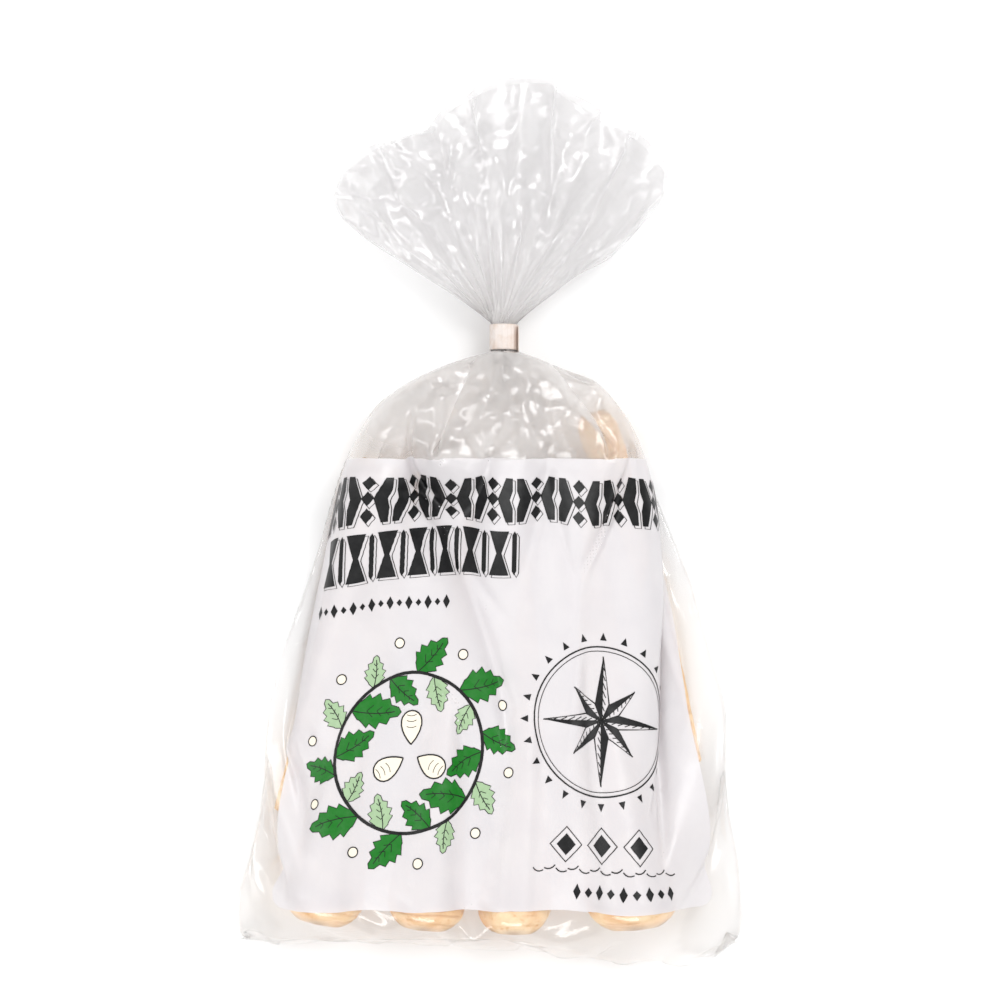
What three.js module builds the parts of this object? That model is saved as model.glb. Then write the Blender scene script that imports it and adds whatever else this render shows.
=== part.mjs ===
// A bag of parsnips lying on its back. Six loose roots are held in one tube of clear film,
// which is welded shut at the bottom, gathered at the neck under a turn of tape, and flares
// open above it. Millimetres; +X across the bag, +Y from the bottom weld to the neck, +Z up
// from the surface that the bag lies on.
import * as THREE from "three";
import { mergeVertices } from "three/addons/utils/BufferGeometryUtils.js";

// Film: the wall stands in for film of 0.035 mm, so that the solid has a body.
const WALL = 0.8;
const SECTION_SIDES = 40; // points round the bag
const ROUND = 2; // a section's squareness, where 2 is a circle and more is squarer
const ROWS_PER_STATION = 2; // rows between two stations of the body
const WELD_THICKNESS = 2.4;
const UNDER_SQUARER = 2; // the lower film turns a tighter corner, because it lies flat
const GATHERING_ROWS = 1.6; // over this many stations the inside closes down to the neck's slit

// Neck and the flare above it.
const NECK_X = 6.8;
const NECK_Z = 15;
const NECK_BOTTOM_Y = 79.5;
const NECK_TOP_Y = 93;
const NECK_RADIUS = 6.2; // the gathered film, without the tape
const NECK_CHANNEL = 0.8; // half the slit that stays open through the gathers
const FLARE_ROWS = 9;
const FLARE_HEIGHT = 36; // how high the upper layer stands at the mouth
const FLARE_SIDE_Z = 11; // the height of the two side folds at the mouth
const FLARE_SQUARE = 2.4; // how square the flare's section is
const FLARE_PARTS_BY = 0.12; // share of the way up by which the two layers have parted
const FLARE_CLEARS_BY = 0.35; // share of the way up by which the gathers have let go

// Tape round the neck: 12 mm wide, with its end lapped over the start and standing off.
const TAPE_WIDTH = 12;
const TAPE_THICKNESS = 0.5;
const TAPE_GAP = 0.3;
const TAPE_TAIL = 5;
const TAPE_TAIL_ANGLE = Math.PI * 0.2; // how far below level the tail points
const TAPE_SIDES = 36;

// Roots: clearance to the film below them, and how finely each is drawn.
const CLEARANCE = 0.4;
const ROOT_SIDES = 16;
const SHOULDER = 13; // length of the rounded shoulder below the crown
const SHOULDER_FALL = 0.72; // 1 would round it down to a point
const SHOULDER_ROWS = [0.18, 0.5, 1]; // rows along the shoulder, as shares of it
const LENGTH_ROWS = [0.15, 0.24, 0.34, 0.45, 0.56, 0.67, 0.78, 0.88, 0.96];
const CROWN_PIT = 2.2; // depth of the hollow where the leaves were cut
const CROWN_RIM = 0.5; // the hollow's rim, as a share of the largest radius
const TAPER = 0.9; // share of the radius that is lost by the tip
const TAPER_POWER = 0.92; // just under 1, so that the sides are a little hollow

// The body of the bag, from the weld to the neck: the two side edges, the height of the upper
// film, the height of the side folds, how far the lower film would hang below them if the
// surface didn't stop it, and how square the section is.
const BODY = [
  { y: -199.5, left: -113, right: 117, top: WELD_THICKNESS, fold: 1.2, under: 2, square: 5 },
  { y: -198, left: -115.5, right: 118.5, top: 25, fold: 5, under: 7, square: 4 },
  { y: -192.5, left: -118.5, right: 119.5, top: 39, fold: 9, under: 12, square: 3.6 },
  { y: -178, left: -119.8, right: 120, top: 47.5, fold: 11, under: 14, square: 3.4 },
  { y: -150, left: -111, right: 115, top: 49.5, fold: 12, under: 15, square: 3.4 },
  { y: -115, left: -107.5, right: 111.5, top: 49, fold: 13, under: 16, square: 3.2 },
  { y: -75, left: -101, right: 107.5, top: 47.5, fold: 14, under: 17, square: 3 },
  { y: -35, left: -89, right: 97, top: 47, fold: 15, under: 18, square: 3 },
  { y: 5, left: -77, right: 84, top: 49, fold: 16, under: 19, square: 3.4 },
  { y: 38, left: -67, right: 71.5, top: 50, fold: 16, under: 18, square: 3.6 },
  { y: 60, left: -47, right: 57.5, top: 45, fold: 15, under: 16, square: 3.2 },
  { y: 71, left: -27, right: 36, top: 33, fold: 14.5, under: 11, square: 2.4 },
  { y: NECK_BOTTOM_Y, left: NECK_X - NECK_RADIUS, right: NECK_X + NECK_RADIUS,
    top: NECK_Z + NECK_RADIUS, fold: NECK_Z, under: NECK_RADIUS, square: ROUND },
];
// The weld isn't straight: it reaches further down on the right, where the film is slack.
const WELD_DROP = 11;
const WELD_DROP_FROM_X = 2;
const WELD_DROP_TO_X = 62;
const WELD_LIFT = 9; // the right-hand corner turns up again
const WELD_LIFT_FROM_X = 88;
const WELD_FADE_Y = -176; // above this the rows are straight

// The mouth of the flare: angle from +Y, and distance from the top of the neck.
const MOUTH = [
  { angle: -55, reach: 96 },
  { angle: -46, reach: 105 },
  { angle: -34, reach: 104 },
  { angle: -21, reach: 99 },
  { angle: -12, reach: 109 },
  { angle: 0, reach: 116 },
  { angle: 11, reach: 119.5 },
  { angle: 20, reach: 112 },
  { angle: 30, reach: 109 },
  { angle: 40, reach: 111 },
  { angle: 48, reach: 103 },
  { angle: 54, reach: 88 },
];
const MOUTH_WAVES = 5;
const MOUTH_WAVE_HEIGHT = 3;

// Each root: where its crown and tip lie, its largest radius, how far its crown is lifted by
// the roots beneath it, and how far its middle bends to the left of the line from crown to tip.
const ROOTS = [
  { name: "parsnip_left", crown: [-80, -188], tip: [-34, 24], radius: 20, lift: 0, bend: 2 },
  { name: "parsnip_mid_left", crown: [-31, -191], tip: [-8, 8], radius: 19.5, lift: 0, bend: 2 },
  { name: "parsnip_middle", crown: [11, -193], tip: [17, -16], radius: 18.5, lift: 0, bend: -3 },
  { name: "parsnip_right", crown: [68, -190], tip: [49, 26], radius: 22.8, lift: 0, bend: 5 },
  { name: "parsnip_upper_left", crown: [-49, 27], tip: [-101, -138], radius: 18, lift: 9, bend: 2 },
  { name: "parsnip_upper_right", crown: [48, 51], tip: [100, -115], radius: 10.5, lift: 4, bend: 3 },
];

const FILM = new THREE.MeshStandardMaterial({
  color: 0xeceaec, roughness: 0.25, metalness: 0, transparent: true, opacity: 0.35,
});
const TAPE = new THREE.MeshStandardMaterial({ color: 0xf0e4dc, roughness: 0.5, metalness: 0 });
const SKIN = new THREE.MeshStandardMaterial({ color: 0xf2cf9c, roughness: 0.6, metalness: 0 });

const smooth = (from, to, x) => THREE.MathUtils.smoothstep(x, from, to);

// The value at place t of a smooth curve through evenly spaced values.
function through(values, t) {
  const last = values.length - 1;
  const i = Math.min(Math.floor(t), last - 1);
  const u = t - i;
  const [a, b, c, d] = [values[Math.max(i - 1, 0)], values[i], values[i + 1], values[Math.min(i + 2, last)]];
  const bend = (2 * a - 5 * b + 4 * c - d) * u + (3 * b - 3 * c + d - a) * u * u;
  return b + 0.5 * u * (c - a + bend);
}

// Signed power, which squares a circle off: ROUND leaves it a circle and more is squarer.
const squared = (value, square) => Math.sign(value) * Math.abs(value) ** (ROUND / square);

// A closed body of revolution about Y, reshaped by moving each of its points. The rows of the
// profile are handed on as the y of a point, and the angle round it as its place in the circle.
function reshaped(rows, sides, place) {
  const profile = rows.map((row, i) => new THREE.Vector2(i === 0 || i === rows.length - 1 ? 0 : 1, i));
  const lathe = new THREE.LatheGeometry(profile, sides);
  const at = lathe.getAttribute("position");
  for (let i = 0; i < at.count; i++) {
    const row = Math.round(at.getY(i));
    const turn = Math.atan2(at.getZ(i), at.getX(i));
    const p = place(rows[row], at.getX(i) === 0 && at.getZ(i) === 0 ? null : turn);
    at.setXYZ(i, p.x, p.y, p.z);
  }
  lathe.deleteAttribute("normal");
  lathe.deleteAttribute("uv");
  const merged = mergeVertices(lathe, 1e-3);
  merged.setIndex(withoutSlivers(merged));
  merged.computeVertexNormals();
  return merged;
}

// The triangles that still have three corners once points at the poles have merged.
function withoutSlivers(geometry) {
  const index = geometry.getIndex().array;
  const kept = [];
  for (let i = 0; i < index.length; i += 3) {
    const [a, b, c] = [index[i], index[i + 1], index[i + 2]];
    if (a !== b && b !== c && c !== a) kept.push(a, b, c);
  }
  return kept;
}

// A point of the body's film. Inside is the wall's thickness further in.
function bodyPoint({ t, inside }, turn) {
  const get = (key) => through(BODY.map((station) => station[key]), t);
  const wall = inside ? WALL : 0;
  const [left, right] = [get("left") + wall, get("right") - wall];
  const [top, fold, under, square] = [get("top") - wall, get("fold"), get("under"), get("square")];
  if (turn === null) return { x: (left + right) / 2, y: get("y"), z: fold };
  const corner = Math.sin(turn) < 0 ? ROUND + (square - ROUND) * UNDER_SQUARER : square;
  const x = (left + right) / 2 + ((right - left) / 2) * squared(Math.cos(turn), corner);
  const rise = squared(Math.sin(turn), corner);
  // Below the folds the lower film drops steeply to the surface and lies flat on it.
  const z = rise >= 0 ? fold + (top - fold) * rise : Math.max(wall, fold + (under - wall) * rise);
  const drop = WELD_DROP * smooth(WELD_DROP_FROM_X, WELD_DROP_TO_X, x);
  const lift = WELD_LIFT * smooth(WELD_LIFT_FROM_X, right, x);
  const y = get("y") + (lift - drop) * (1 - smooth(BODY[0].y, WELD_FADE_Y, get("y")));
  return { x, y, z };
}

// A point of the neck, where all the film is gathered into a round bundle.
function neckPoint({ y, inside }, turn) {
  const radius = inside ? NECK_CHANNEL : NECK_RADIUS;
  return { x: NECK_X + radius * Math.cos(turn), y, z: NECK_Z + radius * Math.sin(turn) };
}

// A point of the flare. Out is 0 at the neck and 1 at the mouth.
function flarePoint({ out, inside }, turn) {
  const wall = inside ? WALL : 0;
  const across = Math.cos(turn);
  const place = ((across + 1) / 2) * (MOUTH.length - 1);
  const angle = THREE.MathUtils.degToRad(through(MOUTH.map((m) => m.angle), place));
  const reach = through(MOUTH.map((m) => m.reach), place) * out;
  const cleared = smooth(0, FLARE_CLEARS_BY, out);
  const radius = inside ? THREE.MathUtils.lerp(NECK_CHANNEL, NECK_RADIUS - WALL, cleared) : NECK_RADIUS;
  const wave = MOUTH_WAVE_HEIGHT * out * Math.sin(MOUTH_WAVES * Math.PI * across);
  const sides = THREE.MathUtils.lerp(NECK_Z, FLARE_SIDE_Z, out);
  const opening = (0.15 + 0.85 * out) * smooth(0, FLARE_PARTS_BY, out);
  const upper = sides + radius + (FLARE_HEIGHT - FLARE_SIDE_Z - NECK_RADIUS) * opening + wave;
  const lower = Math.max(wall, sides - radius - (FLARE_SIDE_Z - NECK_RADIUS) * opening - wave);
  const square = THREE.MathUtils.lerp(ROUND, FLARE_SQUARE, smooth(0, FLARE_PARTS_BY, out));
  const rise = squared(Math.sin(turn), square);
  return {
    x: NECK_X + radius * across + reach * Math.sin(angle),
    y: NECK_TOP_Y + reach * Math.cos(angle),
    z: rise >= 0 ? sides + (upper - sides) * rise : sides + (sides - lower) * rise,
  };
}

// The film: up the outside from the weld to the mouth, and back down the inside.
function bagFilm() {
  const rows = [];
  const steps = (BODY.length - 1) * ROWS_PER_STATION;
  const column = (inside) => [
    ...Array.from({ length: steps + 1 }, (_, i) => ({ place: bodyPoint, t: i / ROWS_PER_STATION, inside }))
      .filter((row) => !inside || row.t >= 1 / ROWS_PER_STATION),
    { place: neckPoint, y: (NECK_BOTTOM_Y + NECK_TOP_Y) / 2, inside },
    ...Array.from({ length: FLARE_ROWS + 1 }, (_, i) => ({ place: flarePoint, out: i / FLARE_ROWS, inside })),
  ];
  const [outside, inside] = [column(false), column(true)];
  rows.push(outside[0], ...outside, ...inside.reverse(), inside[inside.length - 1]);
  const gathersFrom = BODY.length - GATHERING_ROWS;
  const narrow = (row) => row.place === bodyPoint && row.inside && row.t > gathersFrom;
  const place = (row, turn) => {
    const point = row.place(row, turn);
    if (turn === null || !narrow(row)) return point;
    // Near the neck the gathers fill the inside, which closes down to the slit.
    const share = smooth(gathersFrom, BODY.length - 1, row.t);
    const end = neckPoint({ y: point.y, inside: true }, turn);
    return {
      x: THREE.MathUtils.lerp(point.x, end.x, share),
      y: point.y,
      z: THREE.MathUtils.lerp(point.z, end.z, share),
    };
  };
  return reshaped(rows, SECTION_SIDES, place);
}

// The radius of a root at a distance from its crown, without the rounding at its two ends.
const taper = (share, radius) => radius * (1 - TAPER * share ** TAPER_POWER);

// One root: a turned profile, laid along the line from its crown to its tip.
function rootGeometry({ crown, tip, radius, lift, bend }) {
  const [start, end] = [new THREE.Vector2(...crown), new THREE.Vector2(...tip)];
  const length = start.distanceTo(end);
  const along = end.clone().sub(start).normalize();
  const side = new THREE.Vector2(-along.y, along.x);
  const rows = [
    { s: CROWN_PIT, r: 0 },
    { s: CROWN_PIT * 0.6, r: radius * CROWN_RIM / 2 },
    { s: 0, r: radius * CROWN_RIM },
    ...SHOULDER_ROWS.map((share) => ({
      s: SHOULDER * share,
      r: taper((SHOULDER * share) / length, radius) * Math.sqrt(1 - SHOULDER_FALL * (1 - share) ** 2),
    })),
    ...LENGTH_ROWS.map((share) => ({
      s: length * share,
      r: taper(share, radius),
    })),
    { s: length, r: 0 },
  ];
  return reshaped(rows, ROOT_SIDES, ({ s, r }, turn) => {
    const share = THREE.MathUtils.clamp(s / length, 0, 1);
    const p = start.clone().addScaledVector(along, s).addScaledVector(side, bend * Math.sin(Math.PI * share));
    const centre = WALL + CLEARANCE + taper(share, radius) + lift * (1 - share);
    if (turn === null) return { x: p.x, y: p.y, z: centre };
    p.addScaledVector(side, -r * Math.cos(turn));
    return { x: p.x, y: p.y, z: centre + r * Math.sin(turn) };
  });
}

// The tape: one band round the neck, whose lapped end stands off as a short tail.
function neckTape() {
  const [inner, outer] = [NECK_RADIUS + TAPE_GAP, NECK_RADIUS + TAPE_GAP + TAPE_THICKNESS];
  const root = Math.asin(TAPE_THICKNESS / outer); // half the angle that the tail's root takes
  const band = new THREE.Shape().absarc(0, 0, outer, root, Math.PI * 2 - root, false);
  band.lineTo(outer + TAPE_TAIL, -TAPE_THICKNESS);
  band.lineTo(outer + TAPE_TAIL, TAPE_THICKNESS);
  band.closePath();
  band.holes.push(new THREE.Path().absarc(0, 0, inner, 0, Math.PI * 2, true));
  const tape = new THREE.ExtrudeGeometry(band, {
    depth: TAPE_WIDTH, bevelEnabled: false, curveSegments: TAPE_SIDES,
  });
  return tape.rotateZ(-TAPE_TAIL_ANGLE).rotateX(Math.PI / 2);
}

const bag = new THREE.Group();

function add(name, geometry, material) {
  const mesh = new THREE.Mesh(geometry, material);
  mesh.name = name;
  bag.add(mesh);
  return mesh;
}

add("bag_film", bagFilm(), FILM);
add("neck_tape", neckTape(), TAPE).position.set(
  NECK_X, (NECK_BOTTOM_Y + NECK_TOP_Y + TAPE_WIDTH) / 2, NECK_Z,
);
ROOTS.forEach((root) => add(root.name, rootGeometry(root), SKIN));

// The origin is the middle of the box's base.
const box = new THREE.Box3().setFromObject(bag);
const middle = box.getCenter(new THREE.Vector3());
bag.position.set(-middle.x, -middle.y, -box.min.z);

export default bag;
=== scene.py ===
"""A clear film bag of parsnips lying on its back, tied at the neck, seen from straight above.

The film is one tube of quads. Its body is settled round the roots by a small cloth solver
that keeps the flat bag's lengths, and its flare is shaped as a creased fan. The print is meshes
laid on that film, and the roots are turned bodies at the places of their CAD solids. Lengths
are millimetres until a mesh is made. +X is across the bag, +Y runs from the weld to the mouth,
and +Z is up.
"""
import math

import bmesh
import bpy
import numpy as np
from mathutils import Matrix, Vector


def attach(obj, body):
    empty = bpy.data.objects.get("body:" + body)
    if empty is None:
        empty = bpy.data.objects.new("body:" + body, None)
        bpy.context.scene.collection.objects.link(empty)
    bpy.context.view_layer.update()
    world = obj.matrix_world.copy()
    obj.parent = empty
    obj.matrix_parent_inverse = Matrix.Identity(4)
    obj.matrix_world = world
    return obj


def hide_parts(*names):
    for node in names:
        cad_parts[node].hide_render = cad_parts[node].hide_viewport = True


MM = 0.001
SEED = 7

# The photo's frame: millimetres for each of its 1000 pixels, and the CAD point at its centre.
MM_PER_PIXEL = 0.47
PHOTO_CENTRE = (4.8, 9.6)

# The film as a flat bag: half its circumference, and its lengths from the weld.
FLAT_WIDTH = 260.0
BODY_LENGTH = 335.0
NECK_LENGTH = 13.0
FLARE_LENGTH = 124.0
FILM_LENGTH = BODY_LENGTH + NECK_LENGTH + FLARE_LENGTH
GIRTH = 2 * FLAT_WIDTH

# The grid of the film at its coarsest, and how many times it is halved.
COLUMNS = 84
ROWS = 71
HALVINGS = 2

# The neck, as in the CAD model.
NECK = (6.68, 15.0)
NECK_FROM_Y = 79.2
NECK_TO_Y = 92.7
NECK_RADIUS = 6.2
NECK_PLEATS = 42
PLEAT_DEPTH = 3.4

# The printed panel on the flat film: its width, and its edges' distances from the weld.
PANEL_WIDTH = 225.0
PANEL_HEIGHT = 212.0
PANEL_SHIFT = 2.6  # how far the panel's middle lies to the right of the bag's
PANEL_FROM = 38.0
PANEL_TO = 252.0

# The outline seen from above: y, left edge, right edge.
OUTLINE = np.array([
    (-210.0, -4.0, 104.0),
    (-199.5, -118.0, 118.0),
    (-190.0, -120.0, 120.5),
    (-175.0, -119.0, 119.5),
    (-160.0, -114.0, 118.0),
    (-140.0, -109.5, 114.0),
    (-120.0, -107.0, 112.0),
    (-90.0, -105.5, 113.0),
    (-60.0, -98.0, 104.0),
    (-30.0, -87.0, 96.0),
    (-10.0, -80.5, 88.0),
    (12.0, -75.0, 79.0),
    (30.0, -70.5, 73.0),
    (45.0, -64.5, 67.0),
    (57.0, -50.0, 58.0),
    (65.0, -38.0, 50.0),
    (73.0, -20.0, 30.0),
    (NECK_FROM_Y, 0.3, 13.1),
    (NECK_TO_Y, 0.3, 13.1),
    (106.0, -18.0, 23.0),
    (113.0, -28.5, 33.0),
    (127.0, -50.0, 50.0),
    (134.0, -61.0, 66.0),
    (142.0, -66.0, 79.0),
    (155.0, -72.0, 82.0),
    (163.0, -72.0, 84.0),
    (170.0, -67.0, 81.0),
    (176.0, -55.0, 78.0),
    (184.0, -33.0, 65.0),
    (191.0, -26.0, 58.0),
    (198.0, -21.0, 45.0),
    (205.0, -12.0, 35.0),
    (211.0, 10.0, 33.0),
])


def smooth(low, high, x):
    """0 below low, 1 above high and an even ramp between them."""
    t = np.clip((x - low) / (high - low), 0, 1)
    return t * t * (3 - 2 * t)


def mix(a, b, share):
    return a + (b - a) * share


# The film's start and its place in the bag

def sides_at(y):
    """The left and right edges of the outline at a place along the bag."""
    left = np.interp(y, OUTLINE[:, 0], OUTLINE[:, 1])
    right = np.interp(y, OUTLINE[:, 0], OUTLINE[:, 2])
    return left, right


# The middle height of the film's two layers, and its highest point, along the bag.
LAYERS = np.array([
    (-200.0, 1.5, 2.5),
    (-196.0, 4.0, 26.0),
    (-188.0, 7.0, 39.0),
    (-175.0, 10.0, 44.0),
    (-120.0, 13.0, 45.0),
    (-30.0, 15.0, 44.0),
    (30.0, 16.0, 47.0),
    (50.0, 16.0, 46.0),
    (66.0, 15.5, 38.0),
    (NECK_FROM_Y, 15.0, 21.0),
    (NECK_TO_Y, 15.0, 21.0),
    (110.0, 14.0, 24.0),
    (150.0, 12.5, 30.0),
    (210.0, 11.0, 36.0),
])


def seam_height(y):
    return np.interp(y, LAYERS[:, 0], LAYERS[:, 1])


def top_height(y):
    return np.interp(y, LAYERS[:, 0], LAYERS[:, 2])


# The mouth of the flare: angle from +Y, and distance from the top of the neck.
MOUTH = np.array([
    (-59, 79), (-57, 89), (-52, 101), (-45, 107), (-34, 105), (-22, 100), (-13, 109), (-2, 117),
    (10, 120.5), (20, 113), (30, 110), (39, 111), (46, 107), (51, 98), (55.5, 86), (57, 75),
])
# Where each length of film starts out along the bag.
PLACES = np.array([
    (0, -199.5),
    (12, -198),
    (PANEL_FROM, -181),
    (PANEL_TO, 30),
    (300, 62),
    (BODY_LENGTH, NECK_FROM_Y),
    (BODY_LENGTH + NECK_LENGTH, NECK_TO_Y),
    (FILM_LENGTH, 205),
])
SECTION_POINTS = 240
FRONT_SHARE = 0.56  # how much of half a section the panel's half width may take
SECTION_SQUARE = 3.2  # 2 is an ellipse, and more is squarer
# Where the sections turn round towards the neck, and where they are flat again past it.
NECK_NEARS_Y = 66.0
NECK_ENDS_Y = 110.0
LEAST_HEIGHT = 0.3

# The weld drops towards the right, where the film is slack, and its corner turns up again.
WELD_LEFT, WELD_RIGHT = -119.4, 119.8
WELD_Y = -199.3
WELD_DROP = 11.0
WELD_LIFT = 9.0
WELD_RIPPLE = 2.2


def weld_line(x):
    drop = WELD_DROP * smooth(2, 62, x) - WELD_LIFT * smooth(88, 117, x)
    ripple = WELD_RIPPLE * (1 + np.sin(x * 0.21 + 1) * (0.35 + 0.65 * smooth(-20, 60, x)))
    return WELD_Y - drop, 0.6 + ripple


def signed_power(value, power):
    return np.sign(value) * np.abs(value) ** power


def section_at(y):
    """A closed section of the bag, as points that start at the top and go round by the left."""
    turn = np.linspace(0.5 * math.pi, 2.5 * math.pi, SECTION_POINTS + 1)
    left, right = sides_at(y)
    seam, top = seam_height(y), top_height(y)
    in_neck = smooth(NECK_NEARS_Y, NECK_FROM_Y, y) - smooth(NECK_TO_Y, NECK_ENDS_Y, y)
    power = 2 / mix(SECTION_SQUARE, 2, in_neck)
    x = (left + right) / 2 + (right - left) / 2 * signed_power(np.cos(turn), power)
    rise = signed_power(np.sin(turn), power)
    z = seam + np.where(rise > 0, top - seam, seam - LEAST_HEIGHT) * rise
    z = mix(z, NECK[1] + NECK_RADIUS * np.sin(turn), in_neck)
    return x, z


def start_shape(rows, columns):
    """The film drawn round the CAD model's shape, before it settles."""
    points = np.empty((rows + 1, columns, 3))
    # The distance of each column from the front's middle: + is towards the left side.
    across = (np.arange(columns) - columns / 4) / columns * GIRTH
    across = (across + GIRTH / 2) % GIRTH - GIRTH / 2
    for row, length in enumerate(np.linspace(0, FILM_LENGTH, rows + 1)):
        y = np.interp(length, PLACES[:, 0], PLACES[:, 1])
        x, z = section_at(y)
        steps = np.hypot(np.diff(x), np.diff(z))
        path = np.concatenate([[0], np.cumsum(steps)])
        half = path[-1] / 2
        panel_half = PANEL_WIDTH / 2
        panel_path = min(panel_half, FRONT_SHARE * half)
        along = np.interp(np.abs(across), [0, panel_half, GIRTH / 2], [0, panel_path, half])
        along = np.where(across >= 0, along, path[-1] - along)
        points[row, :, 0] = np.interp(along, path, x)
        points[row, :, 1] = y
        points[row, :, 2] = np.interp(along, path, z)
    return points


def neck_points(length, columns):
    """The gathered film of one row of the neck: a round bundle of pleats."""
    turn = math.pi / 2 + (np.arange(columns) / columns - 0.25) * 2 * math.pi
    pleat = np.abs(((np.arange(columns) * NECK_PLEATS / columns) % 1) * 2 - 1)
    uneven = 0.75 + 0.25 * np.sin(turn * 5 + 1.3) * np.sin(turn * 11)
    radius = NECK_RADIUS - 0.15 - PLEAT_DEPTH * pleat * uneven
    share = (length - BODY_LENGTH) / NECK_LENGTH
    y = mix(NECK_FROM_Y, NECK_TO_Y, share)
    twist = 0.5 * share
    return np.stack([
        NECK[0] + radius * np.cos(turn + twist),
        np.full(columns, y),
        NECK[1] + radius * np.sin(turn + twist),
    ], axis=-1)


def weld_points(columns):
    """The welded row: the front's columns from right to left, and the back's on top of them."""
    share = np.abs(((np.arange(columns) / columns) * 2 + 1) % 2 - 1)
    x = mix(WELD_RIGHT, WELD_LEFT, share)
    y, z = weld_line(x)
    return np.stack([x, y, z], axis=-1)


WAVES = 7


def waves(across, along, length, random):
    """Smooth random hills and hollows, mostly between -1 and 1."""
    total = 0
    for _ in range(WAVES):
        turn, phase = random.uniform(0, 2 * math.pi, 2)
        pace = 2 * math.pi / length * random.uniform(0.6, 1.4)
        total = total + np.sin((across * math.cos(turn) + along * math.sin(turn)) * pace + phase)
    return total / WAVES ** 0.5


def facets(across, along, size, random):
    """Cones that meet in sharp ridges about one size apart, from 0 to about 1."""
    across, along = np.broadcast_arrays(across, along)
    low = np.array([across.min(), along.min()])
    span = np.array([np.ptp(across), np.ptp(along)])
    count = int(np.prod(span) / size ** 2)
    seeds = random.uniform(0, 1, (count, 2)) * span + low
    leans = random.uniform(-0.5, 0.5, (count, 2))
    height = np.full(across.shape, np.inf)
    for seed, lean in zip(seeds, leans):
        u, v = (across - seed[0]) / size, (along - seed[1]) / size
        height = np.minimum(height, np.hypot(u, v) + u * lean[0] + v * lean[1])
    return height


# The flare's folds: their size across the film, how much longer they are, and their height.
FLARE_FOLDS = ((44, 3.0, 9.0), (20, 3.0, -2.0))
FLARE_FACETS = ((24, 9.0), (12, -4.0), (6.5, 1.2))  # their size and height
FLARE_STAND = (19, 8)  # how far the front and the back stand off their middle at the mouth
FRONT_SHORTER = 0.07  # how much nearer the neck the front's mouth lies
PLEATS_ON = 2.6  # how high the neck's pleats are where they run out into the flare


def flare_points(lengths, columns):
    """The flare: a fan of two layers of creased film, which spreads out from the neck."""
    out = ((lengths - BODY_LENGTH - NECK_LENGTH) / FLARE_LENGTH)[:, None]
    share = np.abs(((np.arange(columns) / columns) * 2 + 1) % 2 - 1)
    place = (1 - share) * (len(MOUTH) - 1)
    angle = np.radians(np.interp(place, np.arange(len(MOUTH)), MOUTH[:, 0]))
    reach = np.interp(place, np.arange(len(MOUTH)), MOUTH[:, 1])
    side = np.sin(np.arange(columns) / columns * 2 * math.pi)
    reach = reach * (1 - FRONT_SHORTER * np.maximum(side, 0))
    front = smooth(-0.2, 0.2, side)
    random = np.random.default_rng(SEED)
    across, along = angle * FLARE_LENGTH, out * FLARE_LENGTH
    relief = 0
    for size, longer, height in FLARE_FOLDS:
        layers = [0.6 - np.abs(waves(across, along / longer, size, random)) for _ in range(2)]
        relief = relief + height * mix(layers[0], layers[1], front)
    for size, height in FLARE_FACETS:
        sideways, ahead = np.sin(angle) * along, np.cos(angle) * along
        layers = [facets(sideways, ahead, size, random) - 0.4 for _ in range(2)]
        relief = relief + height * mix(layers[0], layers[1], front)
    sway = 0.03 * waves(across, along / 2, 30, random) * out
    pleat = np.abs(((np.arange(columns) * NECK_PLEATS / columns) % 1) * 2 - 1) - 0.5
    relief = relief * out ** 0.8 + PLEATS_ON * pleat * smooth(0, 0.1, out) * (1 - out) ** 2
    stand = np.where(side > 0, *FLARE_STAND) * signed_power(side, 0.6)
    ring = neck_points(BODY_LENGTH + NECK_LENGTH, columns) - (NECK[0], NECK_TO_Y, NECK[1])
    x = NECK[0] + reach * np.sin(angle + sway) * out + ring[:, 0] * (1 - out) ** 3
    y = NECK_TO_Y + reach * np.cos(angle + sway) * out
    middle = mix(NECK[1], 13, out)
    rise = stand * out ** 0.8 + ring[:, 2] * (1 - out) ** 3 + relief * mix(0.5, 1, front)
    rise = np.where(side > 0, np.maximum(rise, 0.4), np.minimum(rise, -0.4))
    return np.stack([x, y, np.maximum(middle + rise, LEAST_HEIGHT)], axis=-1)


# The roots, as in the CAD model: crown, tip, largest radius, lift of the crown and bend.
ROOTS = {
    "parsnip_left": ((-80.12, -188.29), (-34.12, 23.71), 20.0, 0.0, 2.0),
    "parsnip_mid_left": ((-31.12, -191.29), (-8.12, 7.71), 19.5, 0.0, 2.0),
    "parsnip_middle": ((10.88, -193.29), (16.88, -16.29), 18.5, 0.0, -3.0),
    "parsnip_right": ((67.88, -190.29), (48.88, 25.71), 22.8, 0.0, 5.0),
    "parsnip_upper_left": ((-49.12, 26.71), (-101.12, -138.29), 18.0, 9.0, 2.0),
    "parsnip_upper_right": ((47.88, 50.71), (99.88, -115.29), 10.5, 4.0, 3.0),
}
ROOT_CLEARANCE = 1.2
SHOULDER = 13.0
SHOULDER_FALL = 0.72
CROWN_RIM = 0.5
CONTACT_GAP = 0.5


def taper(share, radius):
    return radius * (1 - 0.9 * share ** 0.92)


def root_line(root):
    """The start, direction, sideways direction and length of a root's axis, seen from above."""
    crown, tip = np.array(root[0]), np.array(root[1])
    length = np.hypot(*(tip - crown))
    along = (tip - crown) / length
    return crown, along, np.array([-along[1], along[0]]), length


def root_radius(s, length, radius):
    """A root's radius at a distance from its crown, with its rounded shoulder."""
    shoulder = np.clip(1 - s / SHOULDER, 0, 1)
    return taper(np.clip(s / length, 0, 1), radius) * np.sqrt(1 - SHOULDER_FALL * shoulder ** 2)


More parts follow.
